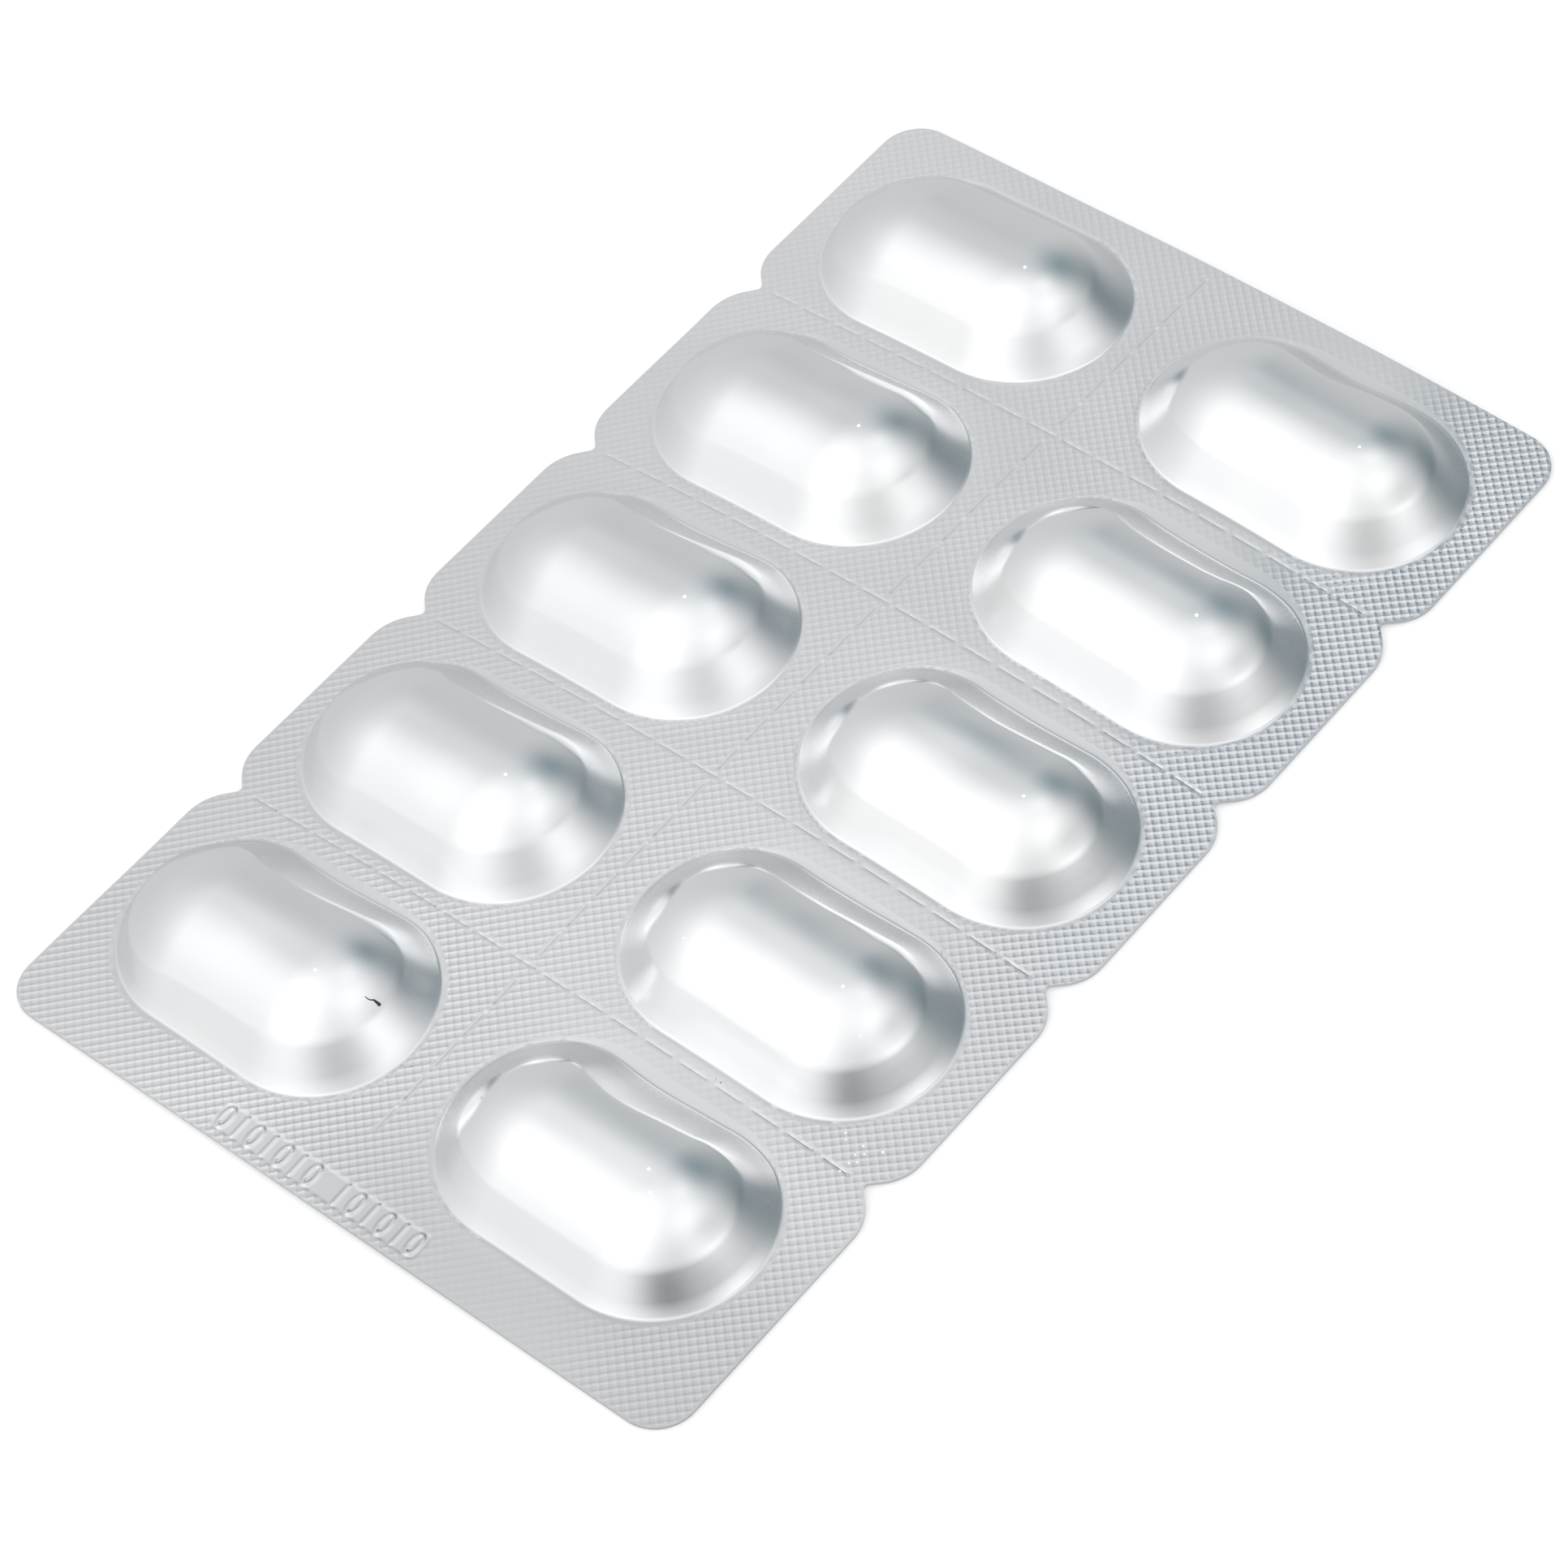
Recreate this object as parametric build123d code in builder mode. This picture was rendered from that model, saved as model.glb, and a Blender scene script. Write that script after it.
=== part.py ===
from build123d import *
import math
import os

# Cold-formed foil blister card with ten filled, sealed pockets in two columns
# of five. Units are millimetres, +Z up, pockets up, +Y along the long side.
# The card is gently arched, so it stands on its two long edges (z = 0), and
# the origin is the middle of its footprint.

# ---------------------------------------------------------------- dimensions
card_w = 80.0             # across the card, X
card_l = 132.5            # along the card, Y
corner_r = 4.1            # die-cut outer corners
foil_t = 0.25             # base foil and lidding foil, sealed and knurled

# arch of the card: z = (1 - xi^2) * polynomial, xi = 2x/w, eta = 2y/l
arch_mid = 2.40
arch_skew_x = 0.15
arch_skew_y = 0.38
arch_fall_y = -1.70
arch_twist = 0.30

# edge notches where the tear lines meet the long edges
notch_v = 2.68            # depth of the sharp 90 degree V
notch_tip_r = 0.55
notch_shoulder_r = 5.0
tear_rows = [39.67, 14.34, -10.55, -36.23]

# tear perforation
slit_w = 0.15
slit_len = 2.95
slit_pitch = 4.04
row_slit_end = 37.4       # the row lines run from notch tip to notch tip
centre_x = -1.15          # the lengthwise line
centre_cells = [(65.4, 40.5), (38.9, 15.1), (13.6, -9.8), (-11.3, -35.5), (-37.0, -58.5)]

# pockets: a stadium base, a straight wall, a crease and a crowned top
rows_y = [51.9, 26.6, 1.3, -24.0, -49.2]
column_x = 19.8           # half the column spacing
print_shift_x = -0.5      # the pocket field sits a little off the card's middle
print_turn = 0.006        # and is turned by a third of a degree
base_a, base_b = 16.45, 10.55      # half length and half width at the foil
wall_rise, wall_in = 3.4, 2.85     # height and inset of the crease, a 50 degree wall
dome_rise = 2.9                    # crown above the crease
dome_slope = 40.0                  # where the crown leaves the crease, degrees
dome_r = 10.0                      # arc from that slope to the level top


def arch(x, y):
    xi, eta = 2 * x / card_w, 2 * y / card_l
    return (1 - xi * xi) * (arch_mid + arch_skew_x * xi + arch_skew_y * eta
                            + arch_fall_y * eta * eta + arch_twist * xi * eta)


def arch_face(lift):
    """Skin of the arched foil, lifted by the given amount, a little larger than the card."""
    nx, ny = 13, 17
    xs = [-43 + 86 * i / (nx - 1) for i in range(nx)]
    ys = [-69.5 + 139 * j / (ny - 1) for j in range(ny)]
    grid = [[Vector(x, y, arch(x, y) + lift) for y in ys] for x in xs]
    return Face.make_surface_from_array_of_points(grid, tol=0.002)


def pocket_plane(cx, cy):
    """Tangent plane of the foil's top skin at a pocket's centre."""
    e = 0.5
    gx = (arch(cx + e, cy) - arch(cx - e, cy)) / (2 * e)
    gy = (arch(cx, cy + e) - arch(cx, cy - e)) / (2 * e)
    return Plane(origin=(cx, cy, arch(cx, cy) + foil_t), x_dir=(1, 0, gx), z_dir=(-gx, -gy, 1))


# ------------------------------------------------------------------- outline
def outline_points():
    w, l, v = card_w / 2, card_l / 2, notch_v
    right = [(w, -l)]
    for y in sorted(tear_rows):
        right += [(w, y - v), (w - v, y), (w, y + v)]
    right.append((w, l))
    left = [(-x, y) for x, y in reversed(right)]
    return right + left


def slit_spans(start, stop):
    """Centres of the cuts between two ends, at the perforation pitch."""
    n = max(1, int((abs(stop - start) - slit_len) / slit_pitch + 1e-6) + 1)
    mid, step = (start + stop) / 2, slit_pitch
    return [mid + (k - (n - 1) / 2) * step for k in range(n)]


row_cut_places = [(x, y) for y in tear_rows for x in slit_spans(-row_slit_end, row_slit_end)]
centre_cut_places = [(centre_x, y) for a, b in centre_cells for y in slit_spans(a, b)]

# one pocket in its own frame, z = 0 on the foil's top skin. The wall starts
# below the skin, because the skin curves away from the pocket's flat frame.
below = 1.6
wall_slope = wall_in / wall_rise
ridge_a, ridge_b = base_a - wall_in, base_b - wall_in
dome_in = dome_rise / math.tan(math.radians(dome_slope))
pocket_top = wall_rise + dome_rise

with BuildPart() as pocket:
    with BuildSketch(Plane.XY.offset(-below)):
        SlotOverall(2 * (base_a + below * wall_slope), 2 * (base_b + below * wall_slope))
    with BuildSketch(Plane.XY.offset(wall_rise)):
        SlotOverall(2 * ridge_a, 2 * ridge_b)
    loft(ruled=True)
    with BuildSketch(Plane.XY.offset(wall_rise)):
        SlotOverall(2 * ridge_a, 2 * ridge_b)
    with BuildSketch(Plane.XY.offset(pocket_top)):
        SlotOverall(2 * (ridge_a - dome_in), 2 * (ridge_b - dome_in))
    loft(ruled=True)
    fillet(pocket.edges().group_by(Axis.Z)[-1], dome_r)

pocket_places = [Location(pocket_plane(side * column_x + print_shift_x + print_turn * y, y))
                 for y in rows_y for side in (-1, 1)]
print("pocket", round(pocket.part.volume, 1), "mm3, rise", pocket_top, "faces", len(pocket.faces()))

# the space under the lidding foil and the space over the flange
with BuildPart() as under_space:
    extrude(to_extrude=arch_face(0), amount=12, dir=(0, 0, -1))
with BuildPart() as over_space:
    extrude(to_extrude=arch_face(foil_t), amount=12, dir=(0, 0, 1))

with BuildPart() as blister_pack:
    # the die-cut outline with its notches and tear cuts, as a thick slab
    with BuildSketch(Plane.XY.offset(-2)) as outline:
        with BuildLine():
            Polyline(*outline_points(), close=True)
        make_face()
        fillet(outline.vertices().filter_by(lambda v: abs(abs(v.Y) - card_l / 2) < 0.01), corner_r)
        fillet(outline.vertices().filter_by(lambda v: abs(abs(v.X) - (card_w / 2 - notch_v)) < 0.01), notch_tip_r)
        fillet(outline.vertices().filter_by(
            lambda v: abs(abs(v.X) - card_w / 2) < 0.01
            and min(abs(abs(v.Y - y) - notch_v) for y in tear_rows) < 0.01), notch_shoulder_r)
        with Locations(*row_cut_places):
            Rectangle(slit_len, slit_w, mode=Mode.SUBTRACT)
        with Locations(*centre_cut_places):
            Rectangle(slit_w, slit_len, mode=Mode.SUBTRACT)
    extrude(amount=8)
    # down to the arched foil skin
    add(over_space.part, mode=Mode.SUBTRACT)
    # the filled pockets stand on it
    for place in pocket_places:
        add(pocket.part.moved(place))
    # the lidding foil's underside follows the same arch, right across the pockets
    add(under_space.part, mode=Mode.SUBTRACT)

blister_pack.part.label = "blister_pack"
os.makedirs("parts", exist_ok=True)
export_step(blister_pack.part, "parts/blister_pack.step")
print("solids", len(blister_pack.solids()), "faces", len(blister_pack.faces()),
      "volume", round(blister_pack.part.volume, 1), "mm3")
box = blister_pack.part.bounding_box()
print("box", [round(v, 3) for v in (*box.min, *box.max)])
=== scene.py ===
import math

import bpy
import numpy as np
from mathutils import Matrix, Vector
from mathutils.geometry import delaunay_2d_cdt


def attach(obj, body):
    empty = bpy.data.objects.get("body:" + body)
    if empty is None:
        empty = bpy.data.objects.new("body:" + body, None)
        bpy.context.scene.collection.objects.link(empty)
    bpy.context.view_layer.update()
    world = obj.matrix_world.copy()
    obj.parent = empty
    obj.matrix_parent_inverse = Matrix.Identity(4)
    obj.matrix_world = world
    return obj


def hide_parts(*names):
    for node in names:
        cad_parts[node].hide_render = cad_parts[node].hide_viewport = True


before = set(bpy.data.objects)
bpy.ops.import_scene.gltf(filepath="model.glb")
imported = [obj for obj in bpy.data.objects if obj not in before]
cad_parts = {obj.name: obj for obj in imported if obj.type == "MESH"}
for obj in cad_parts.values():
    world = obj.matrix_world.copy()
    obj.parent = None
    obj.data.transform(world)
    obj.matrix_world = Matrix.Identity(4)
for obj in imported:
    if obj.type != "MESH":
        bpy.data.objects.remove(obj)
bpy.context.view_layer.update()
scene = bpy.context.scene

# ------------------------------------------------------------------- camera
cam_data = bpy.data.cameras.new("camera")
cam_data.sensor_fit = "HORIZONTAL"
cam_data.sensor_width = 36.0
cam_data.lens = 125.03
cam_data.clip_start, cam_data.clip_end = 0.01, 50.0
camera = bpy.data.objects.new("camera", cam_data)
scene.collection.objects.link(camera)


def turn(vector):
    """Rotation matrix of a rotation vector."""
    angle = float(np.linalg.norm(vector))
    x, y, z = np.asarray(vector) / angle
    k = np.array([[0, -z, y], [z, 0, -x], [-y, x, 0]])
    return np.eye(3) + math.sin(angle) * k + (1 - math.cos(angle)) * k @ k


look = turn([2.39449268, 0.8149051, -0.41913142])
rows = look.T @ np.diag([1.0, -1.0, -1.0])
place = -look.T @ np.array([0.00130419885, -0.00570318543, 0.50411426])
camera.matrix_world = Matrix.Translation(Vector(place + [0, 0, 0.00005])) @ Matrix(rows.tolist()).to_4x4()
scene.camera = camera

# --------------------------------------------------------- shape, in millimetres
CARD_W, CARD_L, FOIL_T = 80.0, 132.5, 0.25
CORNER_R = 4.1
NOTCH_V, NOTCH_TIP_R, NOTCH_SHOULDER_R = 2.68, 0.55, 5.0
TEAR_ROWS = [39.67, 14.34, -10.55, -36.23]
SLIT_W, SLIT_LEN, SLIT_PITCH, ROW_SLIT_END, CENTRE_X = 0.15, 2.95, 4.04, 37.4, -1.15
CENTRE_CELLS = [(65.4, 40.5), (38.9, 15.1), (13.6, -9.8), (-11.3, -35.5), (-37.0, -58.5)]
ROWS_Y = [51.9, 26.6, 1.3, -24.0, -49.2]
BASE_A, BASE_B = 16.45, 10.55
WALL_RISE, WALL_IN = 3.4, 2.85
DOME_RISE, DOME_SLOPE, DOME_R = 2.9, 40.0, 10.0
FILLET = 0.16                # foot of the wall, run of its fillet on the flange
RIM_H = -0.028               # shallow groove that the drawing tool leaves round each foot
CUT_W, CUT_DEEP, CUT_SOFT = 0.02, 0.028, 0.09    # the perforation, closed up, and its sunk lips
KNURL_P, KNURL_H = 0.785, 0.066
rng = np.random.default_rng(7)


def arch(x, y):
    xi, eta = 2 * x / CARD_W, 2 * y / CARD_L
    return (1 - xi * xi) * (2.40 + 0.15 * xi + 0.38 * eta - 1.70 * eta * eta + 0.30 * xi * eta)


def waves(x, y, seed, length, count=9):
    """Smooth unevenness of about unit size, with that wavelength."""
    r = np.random.default_rng(seed)
    out = np.zeros(np.shape(x))
    for _ in range(count):
        a, ph = r.uniform(0, 2 * math.pi, 2)
        k = 2 * math.pi / (length * r.uniform(0.7, 1.5))
        out = out + np.sin(k * (np.cos(a) * x + np.sin(a) * y) + ph)
    return out / math.sqrt(count / 2)


def skin(x, y):
    """Top skin of the flange without its knurl."""
    return arch(x, y) + FOIL_T


def arc_corner(p0, p1, p2, r, step):
    """Points of a corner p1 rounded with radius r."""
    p0, p1, p2 = map(np.asarray, (p0, p1, p2))
    a, b = (p0 - p1) / np.linalg.norm(p0 - p1), (p2 - p1) / np.linalg.norm(p2 - p1)
    half = math.acos(float(np.clip(a @ b, -1, 1))) / 2
    mid = (a + b) / np.linalg.norm(a + b)
    centre = p1 + mid * (r / math.sin(half))
    s, e = p1 + a * (r / math.tan(half)), p1 + b * (r / math.tan(half))
    a0, a1 = math.atan2(*(s - centre)[::-1]), math.atan2(*(e - centre)[::-1])
    d = (a1 - a0 + math.pi) % (2 * math.pi) - math.pi
    n = max(2, int(math.ceil(abs(d) * r / step)))
    return [centre + r * np.array([math.cos(a0 + d * i / n), math.sin(a0 + d * i / n)]) for i in range(n + 1)]


def outline_loop():
    w, l, v = CARD_W / 2, CARD_L / 2, NOTCH_V
    right, radii = [(w, -l)], [CORNER_R]
    for y in sorted(TEAR_ROWS):
        right += [(w, y - v), (w - v, y), (w, y + v)]
        radii += [NOTCH_SHOULDER_R, NOTCH_TIP_R, NOTCH_SHOULDER_R]
    right.append((w, l))
    radii.append(CORNER_R)
    pts = right + [(-x, y) for x, y in reversed(right)]
    radii = radii + radii[::-1]
    out = []
    for i, (p, r) in enumerate(zip(pts, radii)):
        out += arc_corner(pts[i - 1], p, pts[(i + 1) % len(pts)], r, 0.22 if r < 1 else 0.38)
    full = []
    for a, b in zip(out, out[1:] + out[:1]):
        n = max(1, int(round(np.linalg.norm(b - a) / 0.5)))
        full += [a + (b - a) * i / n for i in range(n)]
    return np.array(full)


def slit_spans(start, stop):
    n = max(1, int((abs(stop - start) - SLIT_LEN) / SLIT_PITCH + 1e-6) + 1)
    mid = (start + stop) / 2
    return [mid + (k - (n - 1) / 2) * SLIT_PITCH for k in range(n)]


SLITS = [(x, y, 0) for y in TEAR_ROWS for x in slit_spans(-ROW_SLIT_END, ROW_SLIT_END)]
SLITS += [(CENTRE_X, y, 1) for a, b in CENTRE_CELLS for y in slit_spans(a, b)]


# ------------------------------------------------------------------- pockets
class Pocket:
    def __init__(self, cx, cy, seed):
        e = 0.5
        gx = (arch(cx + e, cy) - arch(cx - e, cy)) / (2 * e)
        gy = (arch(cx, cy + e) - arch(cx, cy - e)) / (2 * e)
        self.n = np.array([-gx, -gy, 1.0]) / math.sqrt(gx * gx + gy * gy + 1)
        self.u = np.array([1.0, 0.0, gx]) / math.sqrt(1 + gx * gx)
        self.v = np.cross(self.n, self.u)
        self.o = np.array([cx, cy, arch(cx, cy) + FOIL_T])
        self.c = (cx, cy)
        self.seed = seed

    def world(self, uv, h):
        return self.o + uv[:, :1] * self.u + uv[:, 1:2] * self.v + np.reshape(h, (-1, 1)) * self.n

    def local(self, x, y):
        """Rough plan position in the pocket's own frame."""
        return x - self.c[0], y - self.c[1]


NS, NA = 14, 42              # steps on a long side, steps on an end


def stadium(inset):
    """Ring of a stadium, and which way is out. inset may differ from point to point."""
    s = BASE_A - BASE_B
    t = np.linspace(-math.pi / 2, math.pi / 2, NA + 1)
    x0 = np.concatenate([np.full(NA + 1, s), np.linspace(s, -s, NS + 1)[1:-1],
                         np.full(NA + 1, -s), np.linspace(-s, s, NS + 1)[1:-1]])
    ox = np.concatenate([np.cos(t), np.zeros(NS - 1), -np.cos(t), np.zeros(NS - 1)])
    oy = np.concatenate([np.sin(t), np.ones(NS - 1), -np.sin(t), -np.ones(NS - 1)])
    b = np.maximum(BASE_B - inset, 0.0)
    out = np.stack([ox, oy], 1)
    return np.stack([x0, np.zeros_like(x0)], 1) + out * np.reshape(b, (-1, 1)) * np.ones((len(x0), 1)), out


def dome_height(inset):
    """Height of the crowned top over the foot line's plane: a 40 degree slope, then an arc to level."""
    th = math.radians(DOME_SLOPE)
    run = DOME_RISE / math.sin(th) - DOME_R * math.tan(th / 2)
    x1, z1 = WALL_IN + run * math.cos(th), WALL_RISE + run * math.sin(th)
    s = np.clip(math.sin(th) - (inset - x1) / DOME_R, 0, 1)
    arc = z1 + DOME_R * (np.sqrt(1 - s * s) - math.cos(th))
    return np.where(inset < x1, WALL_RISE + (inset - WALL_IN) * math.tan(th), arc)


# The foil is drawn loosely over each tablet, so the crease between wall and crown
# wanders: pressed in along the back, low at the left end. Each line gives, for one
# pocket, the distance round the foot line from the middle of the right end, toward
# the back, and the inset of the crease from the foot line there.
CREASES = [
    [(7.7, 3.1), (11.5, 3.15), (16.6, 2.65), (19.5, 2.5), (22.8, 2.9), (26.1, 3.3), (29.0, 3.0), (31.5, 2.3),
     (36.0, 0.7), (41.0, 0.2), (44.5, 0.3), (49.7, 1.1), (55.0, 1.55), (60.5, 2.6)],
    [(5.9, 3.0), (9.9, 3.3), (14.1, 3.5), (17.2, 3.75), (19.5, 4.4), (21.6, 5.3), (24.0, 5.8), (26.2, 5.3),
     (29.0, 4.85), (32.0, 4.35), (35.3, 3.75), (38.5, 3.25), (42.3, 2.8), (47.5, 2.6), (50.0, 2.6), (53.3, 2.7), (59.0, 2.85)],
    [(5.0, 2.85), (8.5, 2.75), (10.5, 2.65), (12.3, 2.8), (15.0, 3.3), (18.0, 3.8), (21.0, 4.3), (25.0, 4.75),
     (28.5, 4.4), (32.0, 2.9), (35.5, 1.2), (38.7, 0.3), (42.5, 0.2), (47.0, 1.15), (51.6, 1.9), (57.0, 2.3), (62.0, 2.8)],
    [(5.0, 3.0), (8.8, 3.3), (11.6, 3.95), (14.4, 5.1), (18.3, 5.95), (21.6, 6.1), (24.5, 6.1), (27.2, 5.8),
     (31.8, 4.5), (35.4, 3.75), (40.1, 2.95), (47.1, 2.65), (49.2, 2.55), (51.8, 2.65), (57.0, 2.85)],
    [(5.0, 2.85), (8.5, 2.75), (10.5, 2.6), (12.1, 2.7), (14.6, 3.15), (17.9, 3.9), (20.4, 4.6), (23.4, 5.0),
     (25.2, 5.05), (29.7, 4.5), (32.5, 3.0), (35.0, 1.7), (38.7, 0.2), (42.3, 0.2), (47.0, 1.2), (51.6, 1.9),
     (56.5, 2.3), (62.0, 2.8)],
    [(5.0, 2.9), (8.5, 3.1), (11.0, 3.4), (15.0, 4.2), (20.0, 5.0), (23.0, 5.4), (27.5, 5.3), (32.0, 4.45),
     (36.0, 3.6), (39.0, 3.1), (44.0, 2.75), (48.0, 2.65), (51.0, 2.6), (57.0, 2.8)],
    [(5.0, 2.85), (8.5, 2.75), (10.5, 2.6), (12.4, 2.75), (15.0, 3.35), (19.3, 4.1), (22.2, 4.55),
     (25.5, 4.85), (29.2, 4.5), (32.0, 3.0), (35.2, 1.0), (39.5, 0.1), (43.3, 0.2), (48.5, 1.45), (52.5, 2.15),
     (57.1, 2.3), (62.0, 2.8)],
    [(5.0, 2.85), (8.4, 3.0), (10.7, 3.0), (15.5, 3.7), (20.1, 4.3), (22.2, 4.65), (24.3, 4.8), (28.0, 5.0),
     (32.7, 4.3), (36.7, 3.5), (38.5, 3.2), (40.3, 2.95), (44.0, 2.8), (48.6, 2.7), (49.7, 2.6), (51.1, 2.5),
     (56.0, 2.7)],
    [(5.0, 2.85), (8.5, 2.75), (10.3, 2.6), (12.0, 2.7), (13.5, 3.0), (16.0, 3.7), (18.9, 4.35), (21.7, 4.9),
     (24.2, 5.2), (27.0, 5.05), (29.0, 4.95), (31.5, 4.1), (34.3, 2.8), (35.6, 2.1), (38.5, 1.0), (40.7, 0.2),
     (43.1, 0.15), (45.8, 0.8), (48.2, 1.05), (50.3, 1.25), (53.0, 1.75), (57.6, 2.1), (62.0, 2.8)],
    [(5.0, 2.85), (8.0, 2.8), (10.9, 2.9), (13.3, 3.8), (17.2, 4.75), (20.0, 5.2), (22.7, 5.8), (25.3, 6.0),
     (27.6, 5.5), (32.0, 4.55), (38.2, 3.35), (41.0, 2.95), (46.6, 2.75), (49.1, 2.55), (50.8, 2.5), (56.0, 2.8)],
]


def stations():
    """Distance round the foot line of each ring point, and the whole way round."""
    s, t = BASE_A - BASE_B, np.linspace(-math.pi / 2, math.pi / 2, NA + 1)
    x, q = np.linspace(s, -s, NS + 1)[1:-1], math.pi / 2 * BASE_B
    return np.concatenate([t * BASE_B, q + s - x, q + 2 * s + (t + math.pi / 2) * BASE_B,
                           3 * q + 2 * s + s - x]), 4 * q + 4 * s


def round_ring(table, rest, soft):
    """Values at the ring points of a smooth curve through a table of (station, value)."""
    at_ring, whole = stations()
    n = 1024
    grid = np.arange(n) * whole / n
    known = sorted([(a % whole, b) for a, b in table] + [(a % whole, rest) for a in (-14.0, -8.0, 66.0, 70.0)])
    raw = np.interp(grid, [k[0] for k in known], [k[1] for k in known], period=whole)
    d = np.minimum(grid, whole - grid)
    w = np.exp(-0.5 * (d / soft) ** 2)
    smooth = np.fft.irfft(np.fft.rfft(raw) * np.fft.rfft(w / w.sum()), n)
    return np.interp(at_ring, grid, smooth, period=whole)


def pocket_rings(p):
    """Rings of world points from the flange to the middle line."""
    ratio = WALL_IN / WALL_RISE
    flat, out = stadium(0.0)
    sigma, whole = stations()
    h = np.zeros(len(flat))
    inset = round_ring(CREASES[p.seed], WALL_IN, 0.75)
    ease = np.clip((36.0 - sigma) / 8.0, 0, 1)
    shift = 0.3 * ease * ease * (3 - 2 * ease) * np.clip(inset - WALL_IN - 0.1, 0, None)  # the foot follows a dent in
    for _ in range(6):
        uv, _o = stadium(h * ratio + shift)
        w = p.world(uv, h)
        h = h + (skin(w[:, 0], w[:, 1]) - w[:, 2]) / p.n[2]
    foot_uv, _o = stadium(h * ratio + shift)
    foot = p.world(foot_uv, h)
    inset = inset + 0.05 * waves(sigma, 0 * sigma, 40 + p.seed, 11.0) * np.sin(math.pi * sigma / whole) ** 2
    crease = p.world(stadium(inset)[0], dome_height(inset))
    out3 = out[:, :1] * p.u + out[:, 1:] * p.v
    rim = foot + out3 * FILLET
    rim[:, 2] = skin(rim[:, 0], rim[:, 1]) + RIM_H
    length = np.linalg.norm(crease - foot, axis=1)
    up = (crease - foot) / length[:, None]
    start = foot + up * FILLET
    bend = foot * 0.5 + (rim + start) * 0.25
    left_end = np.exp(-((sigma - 42.0) / 8.5) ** 4) * (p.seed % 2)
    front = np.exp(-((sigma - 66.0) / 13.0) ** 4)
    bow = np.minimum(0.46 * length, 0.5 + 1.25 * left_end - 0.28 * front)    # the crease's own rounding
    low = crease - up * bow[:, None]
    edge = inset + bow * math.cos(math.radians(DOME_SLOPE))
    high = p.world(stadium(edge)[0], dome_height(edge))
    rings = [rim, bend, start]
    for t in (0.36, 0.72):
        rings.append(start + (low - start) * t)
    for t in (0.0, 0.25, 0.5, 0.75):
        rings.append((1 - t) ** 2 * low + 2 * t * (1 - t) * crease + t * t * high)
    n = 11
    for k in range(n + 1):
        at = edge + (BASE_B - edge) * k / n
        uv, _o = stadium(at)
        wob = 0.022 * waves(uv[:, 0], uv[:, 1], 500 + p.seed, 9.0) * min(1.0, k / 3)
        rings.append(p.world(uv, dome_height(at) + wob))
    return rings


POCKETS = [Pocket(side * 19.8 - 0.5 + 0.006 * y, y, 2 * i + (side > 0))
           for i, y in enumerate(ROWS_Y) for side in (-1, 1)]


def pocket_distance(x, y):
    """Distance outside the nearest pocket's foot, in plan."""
    best = np.full(np.shape(x), 1e9)
    s = BASE_A - BASE_B
    for p in POCKETS:
        u, v = p.local(x, y)
        best = np.minimum(best, np.hypot(np.maximum(np.abs(u) - s, 0), v) - BASE_B)
    return best


def slit_offsets(x, y):
    """Distance from the nearest perforation cut, and whether that is in the lengthwise line."""
    best, lengthwise = np.full(np.shape(x), 1e9), np.zeros(np.shape(x), bool)
    for sx, sy, along_y in SLITS:
        a, t = (y - sy, x - sx) if along_y else (x - sx, y - sy)
        over = np.maximum(np.abs(a) - SLIT_LEN / 2, 0)
        d = np.hypot(np.maximum(np.abs(t) - CUT_W / 2, 0), over)
        lengthwise = np.where(d < best, bool(along_y), lengthwise)
        best = np.minimum(best, d)
    return best, lengthwise


# stamped strip by the near edge: plain ovals and bars
STRIP = (-14.2, 10.5, -65.45, -62.45)
MARK_H, MARK_W, MARK_PITCH, STROKE = 2.5, 1.25, 1.75, 0.17


def marks():
    xs = [STRIP[0] + 0.95 + MARK_PITCH * k for k in range(14) if k != 7]
    return [(x, (STRIP[2] + STRIP[3]) / 2, k % 2) for k, x in enumerate(xs)]


def strip_relief(x, y):
    cx, cy = (STRIP[0] + STRIP[1]) / 2, (STRIP[2] + STRIP[3]) / 2
    hx, hy, r = (STRIP[1] - STRIP[0]) / 2, (STRIP[3] - STRIP[2]) / 2, 0.6
    d = np.hypot(np.maximum(np.abs(x - cx) - hx + r, 0), np.maximum(np.abs(y - cy) - hy + r, 0)) - r
    inside = np.clip(-d / 0.25, 0, 1)
    inside = inside * inside * (3 - 2 * inside)
    best = np.full(np.shape(x), 1e9)
    for mx, my, bar in marks():
        u, v = x - mx, y - my
        if bar:
            q = np.hypot(u, np.maximum(np.abs(v) - MARK_H / 2 + STROKE, 0))
        else:
            a, b = MARK_W / 2 - STROKE, MARK_H / 2 - STROKE
            k = np.hypot(u / a, v / b)
            g = np.hypot(u / a ** 2, v / b ** 2)
            q = np.abs(k * (k - 1)) / np.maximum(g, 1e-6)
            q = np.where(k < 0.2, 1.0, q)
        best = np.minimum(best, q)
    raised = np.clip(1 - (best - STROKE * 0.45) / 0.2, 0, 1)
    raised = raised * raised * (3 - 2 * raised)
    return inside, -0.05 * inside + 0.15 * raised


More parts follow.
